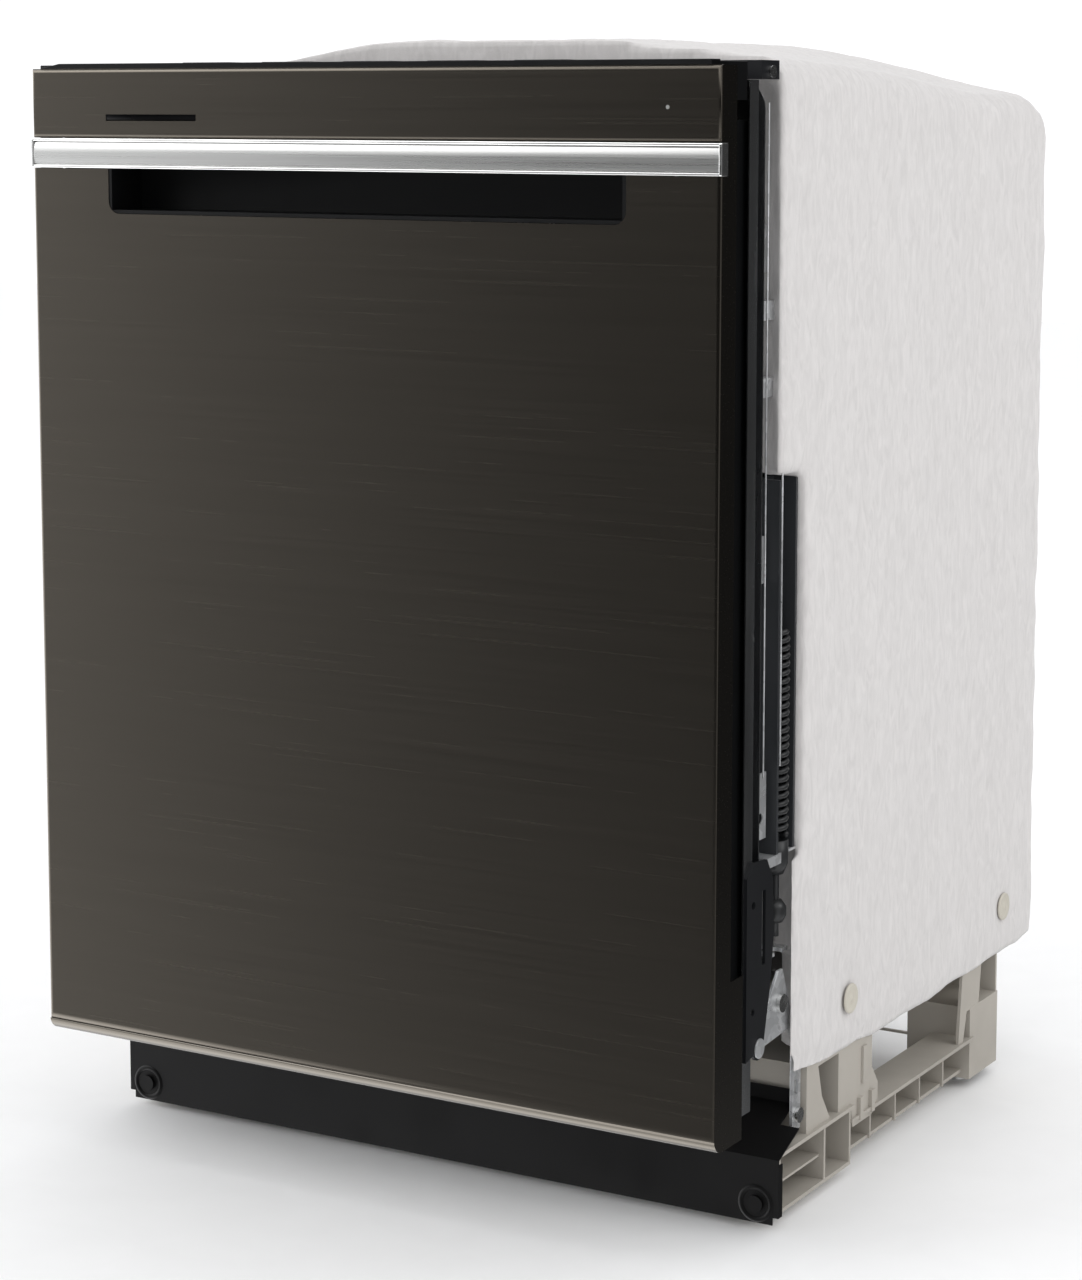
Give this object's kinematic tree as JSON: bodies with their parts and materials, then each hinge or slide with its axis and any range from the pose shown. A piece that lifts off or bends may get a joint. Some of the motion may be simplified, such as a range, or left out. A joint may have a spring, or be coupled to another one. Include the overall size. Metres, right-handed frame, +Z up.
{
  "type": "built-in dishwasher",
  "caption": "Built-in dishwasher with a drop-down door, full-width handle bar over a finger pocket, black toe kick, moulded base and a lagged steel tub holding two racks and two spray arms.",
  "frame": {"origin": "centre of the bounding box in X and Y, on the floor under the levelling feet", "axes": "+X to the right seen from the front, front door faces -Y, +Z up"},
  "size_m": [0.608, 0.646, 0.889],
  "materials": {
    "black_stainless": "brushed, dark coated",
    "bright_steel": "satin",
    "bright_cap": "polished",
    "black_plastic": "fine texture",
    "gloss_black": "gloss",
    "tub_steel": "satin",
    "galvanised": "zinc coated",
    "arm_black": "satin",
    "kick_paint": "satin enamel",
    "base_plastic": "moulded",
    "lagging": "needled felt",
    "stud_plastic": "moulded",
    "rubber": "matt",
    "hose_plastic": "satin",
    "spring_steel": "black oxide",
    "grey_plastic": "satin",
    "motor": "moulded",
    "heater_steel": "heat toned",
    "white_plastic": "satin",
    "circuit": "solder mask",
    "rack_coat": "nylon coat",
    "screw_steel": "zinc",
    "light_lens": "clear lens"
  },
  "bodies": {
    "cabinet": {"hinge_brackets": "galvanised", "tub": "tub_steel", "tub_gasket": "rubber", "sump": "motor", "sump_filter": "grey_plastic", "wash_pump": "motor", "drain_pump": "motor", "drain_hose": "hose_plastic", "heater": "heater_steel", "inlet_valve": "white_plastic", "feed_tube": "grey_plastic", "slide_channels": "bright_steel", "insulation_blanket": "lagging", "blanket_studs": "stud_plastic", "spring_channels": "hose_plastic", "door_springs": "spring_steel", "side_brackets": "galvanised", "spring_shelves": "galvanised", "top_brackets": "arm_black", "bracket_screws": "screw_steel", "door_strike": "bright_steel", "kick_plate": "kick_paint", "kick_screws": "kick_paint", "base_frame": "base_plastic", "levelling_feet": "screw_steel", "junction_box": "galvanised", "spray_post": "grey_plastic"},
    "door": {"door_skin": "black_stainless", "handle_bar": "bright_steel", "handle_end_caps": "bright_cap", "pocket_insert": "black_plastic", "door_frame": "black_plastic", "door_liner": "tub_steel", "dispenser_body": "grey_plastic", "door_vent": "black_plastic", "control_strip": "black_plastic", "display_window": "gloss_black", "status_light": "light_lens", "control_board": "circuit", "door_latch": "black_plastic", "hinge_arms": "arm_black"},
    "dispenser_lid": {"dispenser_lid": "grey_plastic"},
    "rinse_cap": {"rinse_cap": "grey_plastic"},
    "button_power": {"button_power": "gloss_black"},
    "button_cycle": {"button_cycle": "gloss_black"},
    "button_option": {"button_option": "gloss_black"},
    "button_dry": {"button_dry": "gloss_black"},
    "button_start": {"button_start": "gloss_black"},
    "wheel_front_left": {"wheel_front_left": "grey_plastic"},
    "wheel_front_right": {"wheel_front_right": "grey_plastic"},
    "wheel_rear_left": {"wheel_rear_left": "grey_plastic"},
    "wheel_rear_right": {"wheel_rear_right": "grey_plastic"},
    "upper_rack": {"upper_rack": "rack_coat", "slide_rails": "bright_steel", "upper_spray_hub": "grey_plastic"},
    "upper_arm": {"upper_spray_arm": "grey_plastic"},
    "lower_rack": {"lower_rack": "rack_coat"},
    "cutlery_basket": {"cutlery_basket": "grey_plastic"},
    "lower_arm": {"lower_spray_arm": "grey_plastic"},
    "float_dome": {"float_dome": "white_plastic"}
  },
  "joints": [
    {"name": "door_hinge", "type": "hinge", "parent": "cabinet", "child": "door", "pos_m": [0, -0.242, 0.15], "axis": [1, 0, 0], "range_deg": [0, 90], "stiffness_Nm_per_rad": 20},
    {"name": "dispenser_lid_slide", "type": "slide", "parent": "door", "child": "dispenser_lid", "axis": [0, 0, -1], "range_m": [0, 0.08]},
    {"name": "rinse_cap_turn", "type": "hinge", "parent": "door", "child": "rinse_cap", "pos_m": [0.046, -0.236, 0.54], "axis": [0, 1, 0], "range_deg": [0, 90]},
    {"name": "upper_rack_slide", "type": "slide", "parent": "cabinet", "child": "upper_rack", "axis": [0, -1, 0], "range_m": [0, 0.4245]},
    {"name": "upper_arm_spin", "type": "hinge", "parent": "upper_rack", "child": "upper_arm", "pos_m": [0, 0.017, 0.4854], "axis": [0, 0, 1], "continuous": true},
    {"name": "lower_rack_slide", "type": "slide", "parent": "cabinet", "child": "lower_rack", "axis": [0, -1, 0], "range_m": [0, 0.158]},
    {"name": "cutlery_basket_lift", "type": "slide", "parent": "lower_rack", "child": "cutlery_basket", "axis": [0, 0, 1], "range_m": [0, 0.1]},
    {"name": "lower_arm_spin", "type": "hinge", "parent": "cabinet", "child": "lower_arm", "pos_m": [0, 0.017, 0.19], "axis": [0, 0, 1], "continuous": true},
    {"name": "float_lift", "type": "slide", "parent": "cabinet", "child": "float_dome", "axis": [0, 0, 1], "range_m": [0, 0.012]},
    {"name": "button_power_press", "type": "slide", "parent": "door", "child": "button_power", "axis": [0, 0, -1], "range_m": [0, 0.0015], "stiffness_N_per_m": 400},
    {"name": "button_cycle_press", "type": "slide", "parent": "door", "child": "button_cycle", "axis": [0, 0, -1], "range_m": [0, 0.0015], "stiffness_N_per_m": 400},
    {"name": "button_option_press", "type": "slide", "parent": "door", "child": "button_option", "axis": [0, 0, -1], "range_m": [0, 0.0015], "stiffness_N_per_m": 400},
    {"name": "button_dry_press", "type": "slide", "parent": "door", "child": "button_dry", "axis": [0, 0, -1], "range_m": [0, 0.0015], "stiffness_N_per_m": 400},
    {"name": "button_start_press", "type": "slide", "parent": "door", "child": "button_start", "axis": [0, 0, -1], "range_m": [0, 0.0015], "stiffness_N_per_m": 400},
    {"name": "wheel_front_left_roll", "type": "hinge", "parent": "lower_rack", "child": "wheel_front_left", "pos_m": [-0.244, -0.162, 0.211], "axis": [1, 0, 0], "continuous": true},
    {"name": "wheel_front_right_roll", "type": "hinge", "parent": "lower_rack", "child": "wheel_front_right", "pos_m": [0.244, -0.162, 0.211], "axis": [1, 0, 0], "continuous": true},
    {"name": "wheel_rear_left_roll", "type": "hinge", "parent": "lower_rack", "child": "wheel_rear_left", "pos_m": [-0.244, 0.196, 0.211], "axis": [1, 0, 0], "continuous": true},
    {"name": "wheel_rear_right_roll", "type": "hinge", "parent": "lower_rack", "child": "wheel_rear_right", "pos_m": [0.244, 0.196, 0.211], "axis": [1, 0, 0], "continuous": true}
  ],
  "couplings": [
    {"joint": "upper_rack_slide", "follows": "door_hinge", "m_per_rad": 0.27},
    {"joint": "lower_rack_slide", "follows": "door_hinge", "m_per_rad": 0.1}
  ]
}
